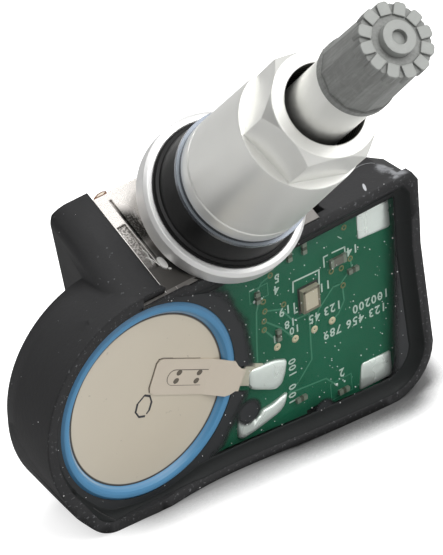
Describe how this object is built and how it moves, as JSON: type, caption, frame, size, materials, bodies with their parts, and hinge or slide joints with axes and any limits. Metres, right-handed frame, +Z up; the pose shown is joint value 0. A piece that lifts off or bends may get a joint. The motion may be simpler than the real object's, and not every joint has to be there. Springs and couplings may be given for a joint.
{
  "type": "tyre pressure sensor with valve",
  "caption": "Tyre pressure sensor: a potted round-and-square housing with cell and board, and a tilted clamp-in metal valve with collar nut and ribbed cap.",
  "frame": {"origin": "centre of the rim seat, on the valve's axis where the grommet meets the washer", "axes": "+Z up as the part stands on its long side, -Y out of the open potted face, +X along the housing from the cell to the far end; the valve points along mount rim_seat's axis"},
  "size_m": [0.0571, 0.0463, 0.0735],
  "materials": {
    "housing_plastic": "matte black, lightly grained",
    "potting_resin": "clear glossy resin",
    "board_green": "green solder mask",
    "cell_steel": "warm satin nickel plate",
    "seal_rubber": "matte",
    "sleeve_blue": "blue film",
    "nickel": "satin nickel",
    "solder": "bright solder",
    "chip_black": "moulded black",
    "chip_tan": "ceramic",
    "bracket_steel": "bright nickel plate",
    "seat_metal": "bright",
    "aluminium_satin": "satin",
    "grommet_rubber": "glossy black",
    "washer_metal": "polished, slightly blue",
    "brass": "plain",
    "cap_plastic": "grey moulded"
  },
  "bodies": {
    "sensor": {"housing": "housing_plastic", "potting": "potting_resin", "circuit_board": "board_green", "cell_can": "cell_steel", "cell_cap": "cell_steel", "cell_gasket": "seal_rubber", "cell_sleeve": "sleeve_blue", "positive_tab": "nickel", "negative_tab": "nickel", "solder_joints": "solder", "crystal": "nickel", "inductor": "chip_black", "chip_parts": "chip_tan", "antenna_strap": "nickel", "sensor_chip": "chip_black", "port_gasket": "seal_rubber", "wake_coil": "chip_black", "bracket": "bracket_steel", "angle_washer": "bracket_steel", "stem_screw": "bracket_steel", "seat_ring": "seat_metal", "valve_stem": "aluminium_satin", "grommet": "grommet_rubber", "core_body": "brass", "core_spring": "bracket_steel"},
    "washer": {"washer": "washer_metal"},
    "nut": {"collar_nut": "aluminium_satin"},
    "cap_seal": {"cap_seal": "seal_rubber"},
    "cap": {"cap": "cap_plastic"},
    "core_pin": {"core_pin": "brass", "core_seal": "seal_rubber"}
  },
  "joints": [
    {"name": "washer_slide", "type": "slide", "parent": "sensor", "child": "washer", "axis": [-0.0586, -0.6833, 0.7278], "range_m": [0, 0.007]},
    {"name": "nut_turn", "type": "hinge", "parent": "washer", "child": "nut", "pos_m": [0, 0, 0], "axis": [-0.0586, -0.6833, 0.7278], "range_deg": [0, 2521]},
    {"name": "cap_seal_slide", "type": "slide", "parent": "sensor", "child": "cap_seal", "axis": [-0.0586, -0.6833, 0.7278], "range_m": [0, 0.00794]},
    {"name": "cap_turn", "type": "hinge", "parent": "cap_seal", "child": "cap", "pos_m": [0, 0, 0], "axis": [-0.0586, -0.6833, 0.7278], "range_deg": [0, 3601]},
    {"name": "core_press", "type": "slide", "parent": "sensor", "child": "core_pin", "axis": [0.0586, 0.6833, -0.7278], "range_m": [0, 0.0012], "stiffness_N_per_m": 400, "springref_m": -0.002, "deforming": ["core_spring"]}
  ],
  "couplings": [
    {"joint": "nut_turn", "follows": "washer_slide", "rad_per_m": 6283.2},
    {"joint": "cap_turn", "follows": "cap_seal_slide", "rad_per_m": 7915.8}
  ]
}
